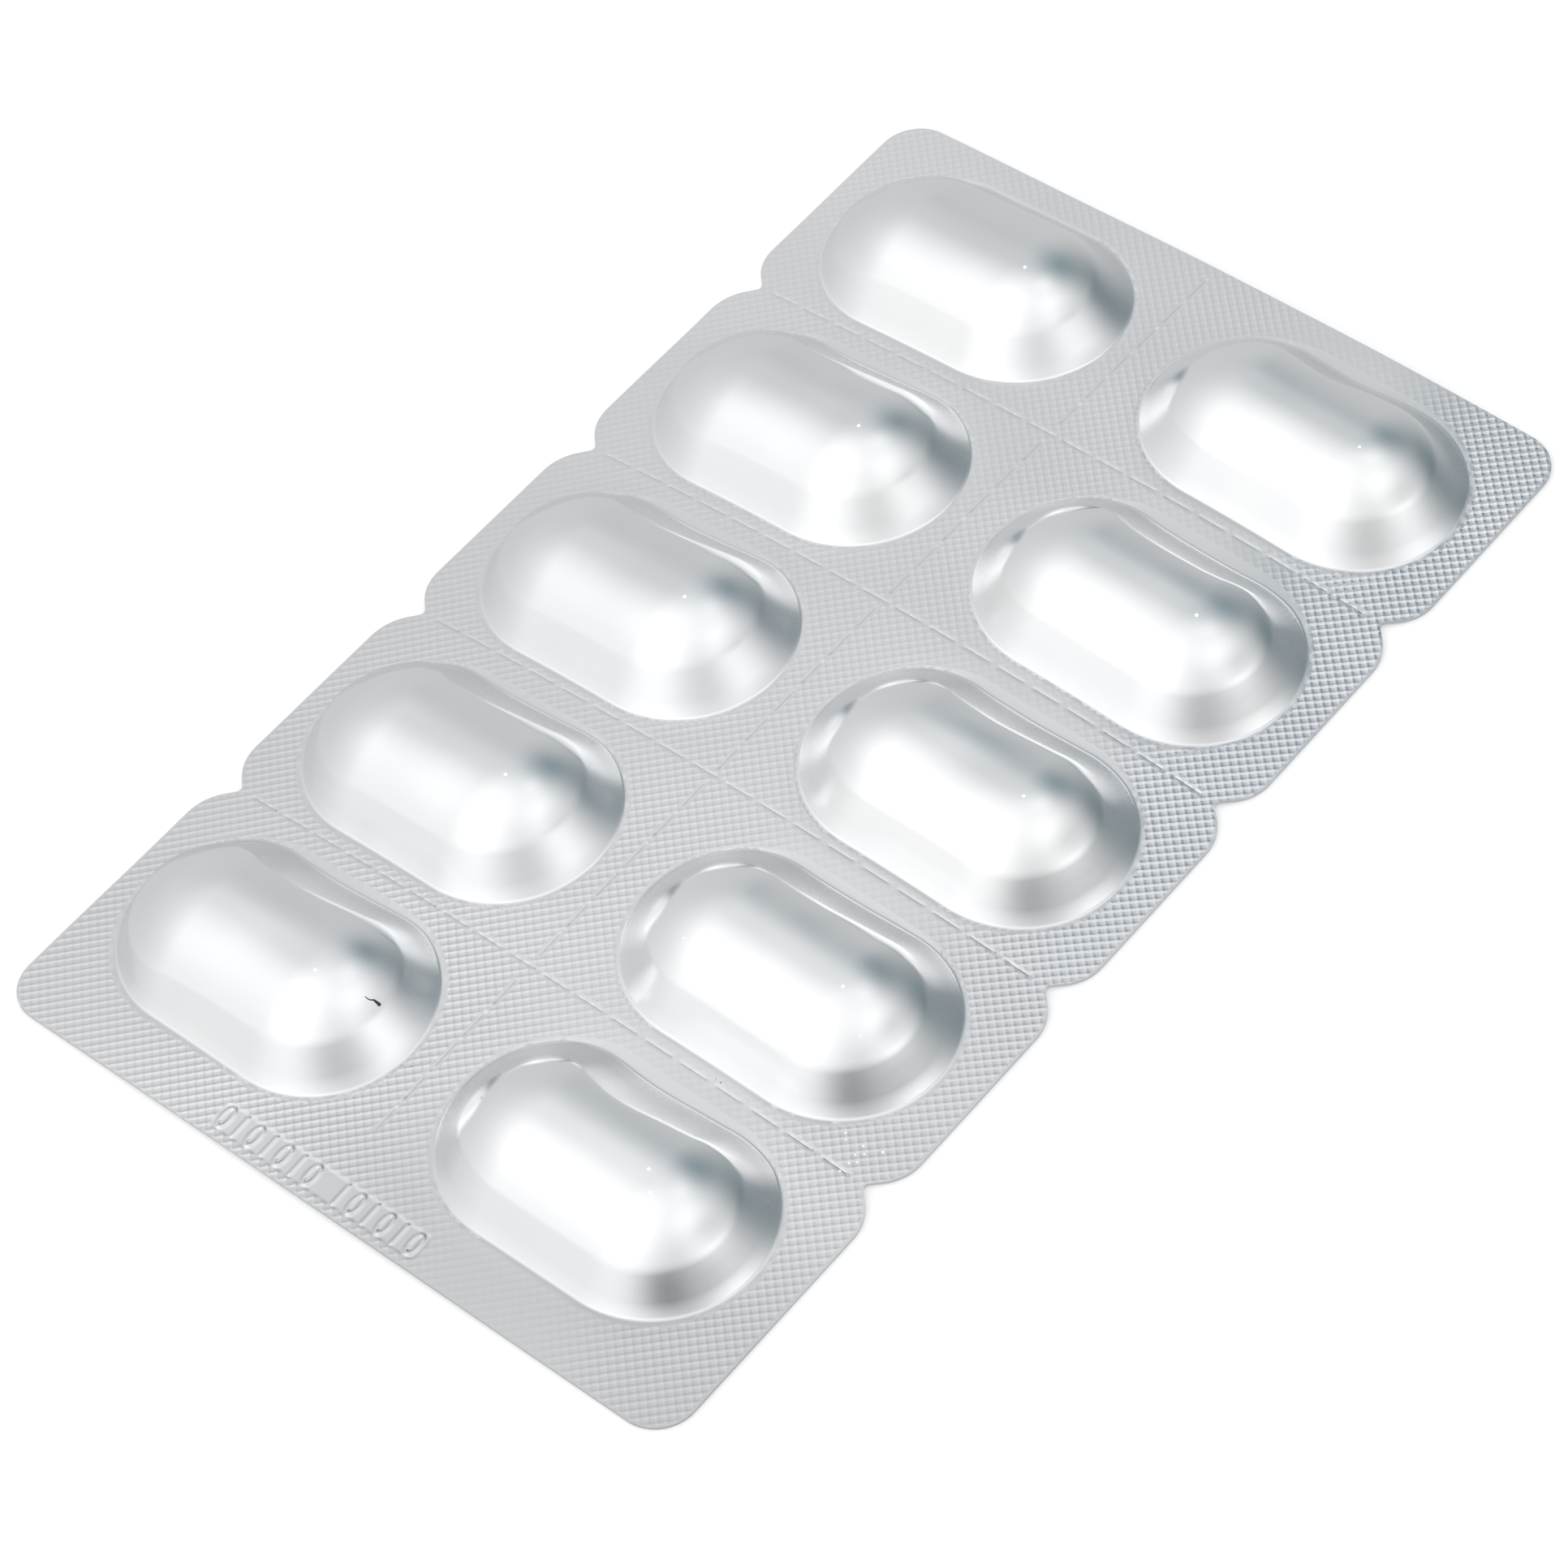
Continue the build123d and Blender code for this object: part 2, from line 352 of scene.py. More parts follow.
def relief(x, y, edge):
    """Height of the flange's fine relief. edge is the distance from the outline."""
    c, s = math.cos(math.radians(45)), math.sin(math.radians(45))
    p, q = c * x + s * y, -s * x + c * y
    k = (np.cos(2 * math.pi * p / KNURL_P) + np.cos(2 * math.pi * q / KNURL_P)) / 2
    far = pocket_distance(x, y)
    cut, lengthwise = slit_offsets(x, y)
    fade = np.clip((far - 0.4) / 0.3, 0, 1) * np.clip(edge / 0.35, 0, 1) * np.clip((cut - 0.02) / 0.12, 0, 1)
    strip_in, strip_h = strip_relief(x, y)
    fade = fade * (1 - strip_in)
    # the sealing plate bites deepest along the right edge and at the near end, least through the right column
    right = np.clip((x - 22) / 12, 0, 1)
    worn = 1 - 0.62 * np.clip((x - 6) / 6, 0, 1) * np.clip((31 - x) / 5, 0, 1)
    bite = (0.20 * worn + 0.42 * np.clip(-y / 55, 0, 1) * np.clip((14 - x) / 14, 0, 1)
            + right * right * (3 - 2 * right) * np.maximum(0.15, 0.36 + 0.42 * y / 60))
    out = 1.15 * KNURL_H * k * fade * bite * (0.9 + 0.1 * waves(x, y, 3, 30.0))
    press = np.where(lengthwise, 0.6, 1 + 0.7 * np.clip((x - 24) / 10, 0, 1))
    out = out - CUT_DEEP * press * np.exp(-cut / CUT_SOFT) + strip_h
    lip = np.clip((far - FILLET) / 0.32, 0, 1)
    out = out + RIM_H * (1 - lip * lip * (3 - 2 * lip)) * (far < 1)
    return out + 0.022 * waves(x, y, 11, 17.0) * np.clip(far / 2.0, 0, 1)


# ------------------------------------------------------------- flange mesh
def subdivided(loop, step):
    out = []
    for a, b in zip(loop, np.roll(loop, -1, 0)):
        n = max(1, int(round(np.linalg.norm(b - a) / step)))
        out += [a + (b - a) * i / n for i in range(n)]
    return np.array(out)


def slit_loop(sx, sy, along_y):
    l, w = SLIT_LEN / 2, CUT_W / 2
    xs = np.linspace(-l, l, 8)
    loop = np.concatenate([np.stack([xs, np.full(8, -w)], 1), np.stack([xs[::-1], np.full(8, w)], 1)])
    if along_y:
        loop = loop[:, ::-1] * [1, 1]
        loop = loop[::-1]
    return loop + [sx, sy]


def near_mask(pts, loop, dist):
    """True where a point is closer than dist to a loop's points."""
    from mathutils.kdtree import KDTree
    tree = KDTree(len(loop))
    for i, q in enumerate(loop):
        tree.insert((q[0], q[1], 0), i)
    tree.balance()
    return np.array([tree.find((x, y, 0))[2] < dist for x, y in pts], bool)


def inside_polygon(pts, loop):
    x, y = pts[:, 0], pts[:, 1]
    inside = np.zeros(len(pts), bool)
    for (ax, ay), (bx, by) in zip(loop, np.roll(loop, -1, 0)):
        cross = (ay > y) != (by > y)
        at = ax + (y - ay) * (bx - ax) / ((by - ay) if by != ay else 1e-12)
        inside ^= cross & (x < at)
    return inside


def triangulate(points, loops, keep):
    """Delaunay triangles of points, with the loops as edges, where keep(centre) is true. loops index points."""
    edges = [(l[i], l[(i + 1) % len(l)]) for l in loops for i in range(len(l))]
    # a slight shear makes every square of the lattice split along the same diagonal
    c = math.sqrt(0.5)
    p, q = c * (points[:, 0] + points[:, 1]), c * (points[:, 1] - points[:, 0])
    sheared = np.stack([p - 0.04 * q, q], 1)
    vs, _e, fs, _ov, _oe, _of = delaunay_2d_cdt([Vector(v) for v in sheared], edges, [], 0, 1e-6, True)
    if len(vs) != len(points):
        raise RuntimeError(f"triangulation changed the points: {len(points)} to {len(vs)}")
    back = np.array([o[0] for o in _ov])
    tri = back[np.array(fs)]
    mid = points[tri].mean(1)
    tri = tri[keep(mid)]
    a, b, c = points[tri[:, 0]], points[tri[:, 1]], points[tri[:, 2]]
    area = (b[:, 0] - a[:, 0]) * (c[:, 1] - a[:, 1]) - (b[:, 1] - a[:, 1]) * (c[:, 0] - a[:, 0])
    tri[area < 0] = tri[area < 0][:, ::-1]
    return tri[np.abs(area) > 1e-9]


OUT = outline_loop()
slit_loops = [slit_loop(*s) for s in SLITS]
rings_of = [pocket_rings(p) for p in POCKETS]
rims = [r[0][:, :2] for r in rings_of]

verts2 = [OUT]
loops, at = [list(range(len(OUT)))], len(OUT)
for l in slit_loops + rims:
    loops.append(list(range(at, at + len(l))))
    at += len(l)
    verts2.append(l)
fixed = np.concatenate(verts2)

# free points: a line beside each loop, the knurl's lattice, and a fine grid in the strip
guard = []
for sx, sy, along_y in SLITS:
    for off in (0.08, 0.18):
        n = 10
        a = np.linspace(-SLIT_LEN / 2 - 0.05, SLIT_LEN / 2 + 0.05, n)
        for sgn in (-1, 1):
            q = np.stack([a, np.full(n, sgn * off)], 1)
            guard.append((q[:, ::-1] if along_y else q) + [sx, sy])
for p, r in zip(POCKETS, rings_of):
    out = r[0] - p.o
    uv = np.stack([out @ p.u, out @ p.v], 1)
    s = BASE_A - BASE_B
    axis = np.stack([np.clip(uv[:, 0], -s, s), np.zeros(len(uv))], 1)
    d = (uv - axis) / np.linalg.norm(uv - axis, axis=1)[:, None]
    for off in (0.16, 0.34):
        w = p.world(uv + d * off, np.zeros(len(uv)))
        guard.append(w[:, :2])
guard = np.concatenate(guard)

step = KNURL_P / 3
c = math.sqrt(0.5)
m = int(110 / step)
ij = np.stack(np.meshgrid(np.arange(-m, m + 1), np.arange(-m, m + 1), indexing="ij"), -1).reshape(-1, 2) * step
lat = np.stack([c * ij[:, 0] - c * ij[:, 1], c * ij[:, 0] + c * ij[:, 1]], 1)
lat = lat[(np.abs(lat[:, 0]) < CARD_W / 2 - 0.12) & (np.abs(lat[:, 1]) < CARD_L / 2 - 0.12)]
lat = lat[pocket_distance(lat[:, 0], lat[:, 1]) > FILLET + 0.5]
in_strip = ((lat[:, 0] > STRIP[0]) & (lat[:, 0] < STRIP[1]) & (lat[:, 1] > STRIP[2]) & (lat[:, 1] < STRIP[3]))
lat = lat[~in_strip]
gx, gy = np.meshgrid(np.arange(STRIP[0] + 0.05, STRIP[1], 0.14), np.arange(STRIP[2] + 0.05, STRIP[3], 0.14), indexing="ij")
strip_pts = np.stack([gx.ravel(), gy.ravel()], 1)
guard = guard[inside_polygon(guard, OUT)]
guard = guard[~near_mask(guard, fixed, 0.07)]
# guard points of neighbours must not crowd each other
keep_g, cell = [], {}
for i, (x, y) in enumerate(guard):
    k = (round(x / 0.06), round(y / 0.06))
    if k in cell:
        continue
    cell[k] = i
    keep_g.append(i)
guard = guard[keep_g]
lat = lat[inside_polygon(lat, OUT)]
lat = lat[~near_mask(lat, np.concatenate([fixed, guard]), 0.17)]
strip_pts = strip_pts[~near_mask(strip_pts, np.concatenate([fixed, guard, lat]), 0.1)]
flat_pts = np.concatenate([fixed, guard, lat, strip_pts])
slit_xy = np.array([(x, y) for x, y, _ in SLITS])
slit_dir = np.array([a for _x, _y, a in SLITS])


def on_flange(mid):
    ok = inside_polygon(mid, OUT)
    for l in rims:
        near = (np.abs(mid[:, 0] - l[:, 0].mean()) < 18) & (np.abs(mid[:, 1] - l[:, 1].mean()) < 12)
        idx = np.nonzero(near)[0]
        ok[idx[inside_polygon(mid[idx], l)]] = False
    for sx, sy, a in SLITS:
        hx, hy = (CUT_W / 2, SLIT_LEN / 2) if a else (SLIT_LEN / 2, CUT_W / 2)
        ok &= ~((np.abs(mid[:, 0] - sx) < hx) & (np.abs(mid[:, 1] - sy) < hy))
    return ok


tri_top = triangulate(flat_pts, loops, on_flange)

from mathutils.kdtree import KDTree
edge_tree = KDTree(len(OUT))
for i, q in enumerate(OUT):
    edge_tree.insert((q[0], q[1], 0), i)
edge_tree.balance()
edge_d = np.full(len(flat_pts), 9.0)
for i in np.nonzero((np.abs(flat_pts[:, 0]) > 36.0) | (np.abs(flat_pts[:, 1]) > 65.0))[0]:
    edge_d[i] = edge_tree.find((flat_pts[i, 0], flat_pts[i, 1], 0))[2]
top_z = skin(flat_pts[:, 0], flat_pts[:, 1]) + relief(flat_pts[:, 0], flat_pts[:, 1], edge_d)
first_rim = len(OUT) + sum(len(l) for l in slit_loops)
n_rim = len(rims[0])
top_z[first_rim:first_rim + n_rim * len(rims)] = np.concatenate([r[0][:, 2] for r in rings_of])
all_v = [np.column_stack([flat_pts, top_z])]
all_f = [tri_top]
drawn = [np.zeros(len(flat_pts))]
steep = [np.zeros(len(flat_pts))]
# the stretched walls are less bright: by ring, and most along the back and at the left end
MATT = [0, 0.4, 0.9, 1, 1, 0.9, 0.7, 0.4, 0.2]
round_at = stations()[0]
MATT_ROUND = 0.2 + 0.8 * np.clip((round_at + 1) / 8, 0, 1) * np.clip((58 - round_at) / 9, 0, 1)
count = len(flat_pts)

# pockets on their rims
for k, rings in enumerate(rings_of):
    prev = np.arange(first_rim + k * n_rim, first_rim + (k + 1) * n_rim)
    for j, ring in enumerate(rings[1:-1], 1):
        cur = np.arange(count, count + n_rim)
        all_v.append(ring)
        drawn.append(np.full(n_rim, min(1.0, j / 2)))
        matt_here = MATT_ROUND + (k % 2) * 1.1 * np.exp(-((round_at - 38) / 3.2) ** 2)
        steep.append(matt_here * (MATT[j] if j < len(MATT) else 0.0))
        count += n_rim
        a, b = prev, np.roll(prev, -1)
        d, e = cur, np.roll(cur, -1)
        all_f.append(np.stack([a, b, e], 1))
        all_f.append(np.stack([a, e, d], 1))
        prev = cur
    # the middle strip: the last ring is closed across to the other side
    last = rings[-1]
    half = NA // 2
    # the points of the last ring, walked from the right end along both sides to the left end
    ring_ids = list(prev)
    n = n_rim
    start = half                       # the right end's middle point
    other = NA + 1 + (NS - 1) + half   # the left end's middle point
    up_side = [ring_ids[i % n] for i in range(start, other + 1)]
    low_side = [ring_ids[i % n] for i in range(start, other - n - 1, -1)]
    for i in range(len(up_side) - 1):
        a, b = up_side[i], up_side[i + 1]
        d, e = low_side[i], low_side[i + 1]
        fa = [f for f in ((a, b, e), (a, e, d)) if len(set(f)) == 3]
        if fa:
            all_f.append(np.array(fa))

# underside and cut edges
under_loops = loops[:1 + len(slit_loops)]
n_under = len(OUT) + sum(len(l) for l in slit_loops)
gx, gy = np.meshgrid(np.arange(-37, 38, 4.6), np.arange(-64, 65, 4.6), indexing="ij")
inner = np.stack([gx.ravel(), gy.ravel()], 1)
inner = inner[~near_mask(inner, fixed[:n_under], 0.9)]
inner = inner[inside_polygon(inner, OUT)]
under_pts = np.concatenate([fixed[:n_under], inner])


def on_lid(mid):
    ok = inside_polygon(mid, OUT)
    for sx, sy, a in SLITS:
        hx, hy = (CUT_W / 2, SLIT_LEN / 2) if a else (SLIT_LEN / 2, CUT_W / 2)
        ok &= ~((np.abs(mid[:, 0] - sx) < hx) & (np.abs(mid[:, 1] - sy) < hy))
    return ok


tri_under = triangulate(under_pts, under_loops, on_lid)
under_z = arch(under_pts[:, 0], under_pts[:, 1])
all_v.append(np.column_stack([under_pts, under_z]))
all_f.append(tri_under[:, ::-1] + count)
drawn.append(np.zeros(len(under_pts)))
steep.append(np.zeros(len(under_pts)))
for l in under_loops:
    l = np.array(l)
    nxt = np.roll(l, -1)
    # the side walls face out of the material on either kind of loop
    area = np.sum(fixed[l][:, 0] * np.roll(fixed[l][:, 1], -1) - np.roll(fixed[l][:, 0], -1) * fixed[l][:, 1])
    outer = l is not None and l[0] == 0
    a, b = (l, nxt) if (area > 0) == bool(outer) else (nxt, l)
    all_f.append(np.stack([a + count, b + count, b], 1))
    all_f.append(np.stack([a + count, b, a], 1))

V = np.concatenate(all_v) * 0.001
F = np.concatenate(all_f)
drawn, steep = np.concatenate(drawn), np.concatenate(steep)
mesh = bpy.data.meshes.new("blister_foil")
mesh.from_pydata(V.tolist(), [], F.tolist())
mesh.validate()
mesh.update()
used = mesh.attributes.new("drawn", "FLOAT", "POINT")
used.data.foreach_set("value", drawn.astype(np.float32))
wall = mesh.attributes.new("steep", "FLOAT", "POINT")
wall.data.foreach_set("value", steep.astype(np.float32))
# painted sheen and shade: the sealed area's colour is lighter toward the far left, where it is hardly knurled, and
# darker at the near end
bright = np.clip((V[:, 1] * 1000 + 62) / 122, 0, 1) * np.clip((34 - V[:, 0] * 1000) / 14, 0, 1)
near_end = np.clip((-V[:, 1] * 1000 - 40) / 20, 0, 1) * np.clip((V[:, 0] * 1000 + 16) / 22, 0, 1)
bright = 0.37 + 0.63 * bright - 0.37 * near_end
painted_sheen = mesh.attributes.new("bright", "FLOAT", "POINT")
painted_sheen.data.foreach_set("value", bright.astype(np.float32))
# and a painted reflection tint: a little cooler along the far part of the right edge
reflection_tint = np.clip((V[:, 0] * 1000 - 24) / 10, 0, 1) * np.clip((V[:, 1] * 1000 + 30) / 50, 0, 1)
painted_tint_attr = mesh.attributes.new("reflection_tint", "FLOAT", "POINT")
painted_tint_attr.data.foreach_set("value", reflection_tint.astype(np.float32))
mesh.shade_smooth()
# the knurl is a field of small facets, all the rest is smooth
first_lat = len(fixed) + len(guard)
knurled = np.all((F >= first_lat) & (F < first_lat + len(lat)), axis=1)
if len(mesh.polygons) != len(F):
    raise RuntimeError("the mesh lost faces")
mesh.set_sharp_from_angle(angle=math.radians(62))
mesh.polygons.foreach_set("use_smooth", ~knurled)
mesh.update()
foil = bpy.data.objects.new("blister_foil", mesh)
scene.collection.objects.link(foil)
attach(foil, "root")
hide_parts("blister_pack")
def bead_mesh(verts, faces, centre, r):
    """Adds a small closed ball to lists of points and faces."""
    first = len(verts)
    verts.append(centre + (0, 0, r))
    for t in (40, 80, 120, 155):
        for a in range(12):
            b = math.radians(30 * a)
            ct, st = math.cos(math.radians(t)), math.sin(math.radians(t))
            verts.append(centre + np.array([r * st * math.cos(b), r * st * math.sin(b), r * ct]))
    verts.append(centre - (0, 0, r))
    for a in range(12):
        b = (a + 1) % 12
        faces.append((first, first + 1 + a, first + 1 + b))
        for ring in range(3):
            c = first + 1 + 12 * ring
            faces.append((c + a, c + 12 + a, c + 12 + b, c + b))
        faces.append((first + 37 + a, first + 49, first + 37 + b))


def on_seal(x, y, up):
    return np.array([x, y, skin(np.array([x]), np.array([y]))[0] + up])


# a short dark fibre, stuck on the near pocket of the left column, and two dark grains
host = POCKETS[8]
course = np.array([(12.15, 0.12), (12.45, 0.14), (12.65, 0.26), (12.76, 0.44), (12.97, 0.56), (13.28, 0.54)])
bead = [0.02, 0.035, 0.038, 0.042, 0.046, 0.05, 0.055, 0.06, 0.08, 0.13, 0.16, 0.13, 0.05]
walk = np.linspace(0, 5, len(bead))
walk[9:] = 5 + np.array([-0.22, 0.0, 0.22, 0.34])
line = np.stack([np.interp(walk, range(6), course[:, i]) for i in (0, 1)], 1)
line[10:] += (course[5] - course[4]) * (walk[10:, None] - 5)
bed = dome_height(BASE_B - np.hypot(np.maximum(np.abs(line[:, 0]) - (BASE_A - BASE_B), 0), line[:, 1]))
line = host.world(line, bed + 0.6 * np.array(bead) + 0.01)
fib_v, fib_f, side = [], [], 8
for i, (q, r) in enumerate(zip(line, bead)):
    along = line[min(i + 1, len(line) - 1)] - line[max(i - 1, 0)]
    along /= np.linalg.norm(along)
    e1 = np.cross(along, host.n)
    e1 /= np.linalg.norm(e1)
    e2 = np.cross(e1, along)
    for k in range(side):
        a = 2 * math.pi * k / side
        fib_v.append(q + r * (math.cos(a) * e1 + math.sin(a) * e2))
for i in range(len(bead) - 1):
    for k in range(side):
        a, b = i * side + k, i * side + (k + 1) % side
        fib_f.append((a, b, b + side, a + side))
fib_f.append(tuple(range(side))[::-1])
fib_f.append(tuple(range((len(bead) - 1) * side, len(bead) * side)))
bead_mesh(fib_v, fib_f, on_seal(20.86, -35.73, 0.01), 0.055)
bead_mesh(fib_v, fib_f, on_seal(20.25, -35.66, 0.0), 0.035)
fib_mesh = bpy.data.meshes.new("fibre")
fib_mesh.from_pydata((np.array(fib_v) * 0.001).tolist(), [], fib_f)
fib_mesh.validate()
fib_mesh.shade_smooth()
fibre = bpy.data.objects.new("fibre", fib_mesh)
scene.collection.objects.link(fibre)
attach(fibre, "root")
# tiny bright specks on the crowns, one at about the same place on every pocket: small beads whose glowing white
# finish paints a glint on each
SPECKS = [(0, 7.4, -0.7), (1, 7.1, -0.9), (2, 7.5, -0.5), (3, 7.0, -0.4), (4, 7.6, -0.6), (5, 7.0, -0.4), (6, 7.5, -0.3),
          (7, 7.0, -0.4), (8, 7.5, -0.9), (9, 5.5, 0.6), (9, 7.1, -1.1), (7, 10.8, -2.8), (7, -8.0, -4.4), (8, -1.3, -3.8)]
# and a group of them where the knurl sparkles, by the last notch on the right: glowing beads that paint the knurl's
# glints
SPARKLES = [(36.7, -32.65, 0.11), (34.96, -33.19, 0.10), (34.94, -36.41, 0.10), (35.55, -34.81, 0.09), (32.91, -33.12, 0.09),
            (34.97, -34.32, 0.08), (35.04, -35.31, 0.08), (35.53, -33.78, 0.08), (33.32, -33.63, 0.08)]
speck_v, speck_f = [], []
for i, (k, pu, pv) in enumerate(SPECKS):
    inset = BASE_B - math.hypot(max(abs(pu) - BASE_A + BASE_B, 0), pv)
    centre = POCKETS[k].world(np.array([[pu, pv]]), dome_height(np.array([inset])) - 0.05)[0]
    bead_mesh(speck_v, speck_f, centre, 0.18 if i < 11 else 0.12)
for x, y, r in SPARKLES:
    bead_mesh(speck_v, speck_f, on_seal(x, y, 0.03), r)
speck_mesh = bpy.data.meshes.new("specks")
speck_mesh.from_pydata((np.array(speck_v) * 0.001).tolist(), [], speck_f)
speck_mesh.validate()
speck_mesh.shade_smooth()
specks = bpy.data.objects.new("specks", speck_mesh)
scene.collection.objects.link(specks)
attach(specks, "root")
# painted glints: the beads' white finish glows, though they are no lamp
painted_glint = bpy.data.materials.new("painted_glint")
painted_glint.use_nodes = True
painted_glint.node_tree.nodes["Principled BSDF"].inputs["Base Color"].default_value = (0.97, 0.98, 0.97, 1)
painted_glint.node_tree.nodes["Principled BSDF"].inputs["Roughness"].default_value = 0.35
painted_glint.node_tree.nodes["Principled BSDF"].inputs["Emission Color"].default_value = (0.97, 1.0, 0.99, 1)
painted_glint.node_tree.nodes["Principled BSDF"].inputs["Emission Strength"].default_value = 0.45
speck_mesh.materials.append(painted_glint)

dirt = bpy.data.materials.new("dirt")
dirt.use_nodes = True
dirt.node_tree.nodes["Principled BSDF"].inputs["Base Color"].default_value = (0.035, 0.035, 0.03, 1)
dirt.node_tree.nodes["Principled BSDF"].inputs["Roughness"].default_value = 0.7
fib_mesh.materials.append(dirt)
print("foil triangles", len(mesh.polygons), "vertices", len(mesh.vertices), "facets", int(knurled.sum()))

# ----------------------------------------------------------------- material
mat = bpy.data.materials.new("foil")
mat.use_nodes = True
nt = mat.node_tree
bsdf = nt.nodes["Principled BSDF"]
bsdf.inputs["Metallic"].default_value = 1.0


def node(kind, **values):
    n = nt.nodes.new(kind)
    for k, v in values.items():
        setattr(n, k, v)
    return n


tc = node("ShaderNodeTexCoord")
big = node("ShaderNodeTexNoise")
big.inputs["Scale"].default_value = 60.0
big.inputs["Detail"].default_value = 3.0
ramp = node("ShaderNodeMapRange")
ramp.inputs["From Min"].default_value = 0.3
ramp.inputs["From Max"].default_value = 0.7
ramp.inputs["To Min"].default_value = 0.0
ramp.inputs["To Max"].default_value = 1.0
nt.links.new(tc.outputs["Object"], big.inputs["Vector"])
nt.links.new(big.outputs["Fac"], ramp.inputs["Value"])
tint = node("ShaderNodeMix", data_type="RGBA")
tint.inputs["A"].default_value = (0.865, 0.875, 0.885, 1)
tint.inputs["B"].default_value = (0.905, 0.905, 0.905, 1)
nt.links.new(ramp.outputs["Result"], tint.inputs["Factor"])
att = node("ShaderNodeAttribute", attribute_name="drawn")
sealed = node("ShaderNodeMix", data_type="RGBA")          # the sealed and knurled area is duller, its colour carrying the painted sheen and shade
# painted sheen and shade: the flange colour runs from this darker grey to this lighter one along the bright attribute
painted_sheen_mix = node("ShaderNodeMix", data_type="RGBA")
painted_sheen_mix.inputs["A"].default_value = (0.655, 0.652, 0.659, 1)
painted_sheen_mix.inputs["B"].default_value = (0.930, 0.920, 0.925, 1)
far_left = node("ShaderNodeAttribute", attribute_name="bright")
nt.links.new(far_left.outputs["Fac"], painted_sheen_mix.inputs["Factor"])
# painted reflection tint: a cooler grey mixed into the flange colour along the far right edge
right_edge = node("ShaderNodeAttribute", attribute_name="reflection_tint")
hue = node("ShaderNodeMix", data_type="RGBA")
hue.inputs["B"].default_value = (0.728, 0.741, 0.762, 1)
nt.links.new(right_edge.outputs["Fac"], hue.inputs["Factor"])
nt.links.new(painted_sheen_mix.outputs["Result"], hue.inputs["A"])
nt.links.new(hue.outputs["Result"], sealed.inputs["A"])
nt.links.new(att.outputs["Fac"], sealed.inputs["Factor"])
nt.links.new(tint.outputs["Result"], sealed.inputs["B"])
nt.links.new(sealed.outputs["Result"], bsdf.inputs["Base Color"])
fine = node("ShaderNodeTexNoise")
fine.inputs["Scale"].default_value = 900.0
fine.inputs["Detail"].default_value = 4.0
nt.links.new(tc.outputs["Object"], fine.inputs["Vector"])
rough = node("ShaderNodeMapRange")
rough.inputs["To Min"].default_value = 0.11
rough.inputs["To Max"].default_value = 0.10
nt.links.new(att.outputs["Fac"], rough.inputs["Value"])
vary = node("ShaderNodeMath", operation="MULTIPLY_ADD")
vary.inputs[1].default_value = 0.05
nt.links.new(fine.outputs["Fac"], vary.inputs[0])
stretched = node("ShaderNodeAttribute", attribute_name="steep")
matt = node("ShaderNodeMath", operation="MULTIPLY_ADD")
matt.inputs[1].default_value = 0.16
nt.links.new(stretched.outputs["Fac"], matt.inputs[0])
nt.links.new(rough.outputs["Result"], matt.inputs[2])
nt.links.new(matt.outputs["Value"], vary.inputs[2])
nt.links.new(vary.outputs["Value"], bsdf.inputs["Roughness"])
bump = node("ShaderNodeBump")
bump.inputs["Strength"].default_value = 0.12
bump.inputs["Distance"].default_value = 0.00002
nt.links.new(fine.outputs["Fac"], bump.inputs["Height"])
nt.links.new(bump.outputs["Normal"], bsdf.inputs["Normal"])
mesh.materials.append(mat)

# -------------------------------------------------------------- floor, light
floor_mesh = bpy.data.meshes.new("floor")
floor_mesh.from_pydata([(-6, -6, 0), (6, -6, 0), (6, 6, 0), (-6, 6, 0)], [], [(0, 1, 2, 3)])
floor = bpy.data.objects.new("floor", floor_mesh)
floor.location = (0, 0, -0.0001)
scene.collection.objects.link(floor)
floor_mat = bpy.data.materials.new("floor")
floor_mat.use_nodes = True
fb = floor_mat.node_tree.nodes["Principled BSDF"]
fb.inputs["Base Color"].default_value = (0.93, 0.93, 0.93, 1)
fb.inputs["Roughness"].default_value = 0.9
fb.inputs["Emission Color"].default_value = (1, 1, 1, 1)
fb.inputs["Emission Strength"].default_value = 0.22
fb.inputs["Specular IOR Level"].default_value = 0.1
floor_mesh.materials.append(floor_mat)
floor.visible_glossy = False         # the foil mirrors the studio all round, also low down

# a studio sky: white overhead and in front, grey behind, with soft darker places
world = bpy.data.worlds.new("studio")
scene.world = world
world.use_nodes = True
wn = world.node_tree
wn.nodes.clear()
w_out = wn.nodes.new("ShaderNodeOutputWorld")
w_bg = wn.nodes.new("ShaderNodeBackground")
w_tc = wn.nodes.new("ShaderNodeTexCoord")
w_n = wn.nodes.new("ShaderNodeVectorMath")
w_n.operation = "NORMALIZE"
wn.links.new(w_tc.outputs["Generated"], w_n.inputs[0])
wn.links.new(w_bg.outputs["Background"], w_out.inputs["Surface"])


def toward(az, el):
    a, e = math.radians(az), math.radians(el)
    return (math.cos(a) * math.cos(e), math.sin(a) * math.cos(e), math.sin(e))


